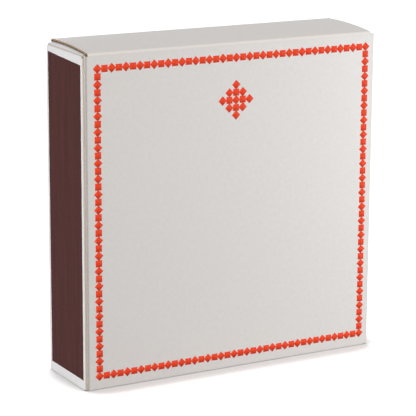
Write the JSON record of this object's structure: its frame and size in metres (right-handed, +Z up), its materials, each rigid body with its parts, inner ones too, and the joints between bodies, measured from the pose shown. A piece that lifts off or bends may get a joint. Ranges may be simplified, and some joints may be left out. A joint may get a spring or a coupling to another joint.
{
  "type": "matchbox",
  "caption": "Square upright card matchbox with a striking strip on one narrow side, a hinged tuck lid and rows of long matches standing inside.",
  "frame": {"origin": "bottom centre of the box as it stands on its bottom flap", "axes": "+Z up, X along the wide faces, the print face looks along -Y, the striking strip is on the -X side"},
  "size_m": [0.1096, 0.0281, 0.1119],
  "materials": {
    "card": "matt coated white folding boxboard with a tan raw edge",
    "striker": "dark brown gritty striking coating, matt",
    "red_ink": "flat orange red print",
    "match": "sawn pale aspen with a dipped head"
  },
  "bodies": {
    "carton": {"carton": "card", "striker_strip": "striker", "border_print": "red_ink", "lozenge_print": "red_ink", "match_row_1": "match", "match_row_2": "match", "match_row_3": "match", "match_row_4": "match", "match_row_5": "match"},
    "lid": {"lid": "card"}
  },
  "joints": [
    {"name": "lid_hinge", "type": "hinge", "parent": "carton", "child": "lid", "pos_m": [0, -0.014, 0.1105], "axis": [1, 0, 0], "range_deg": [0, 180]}
  ]
}
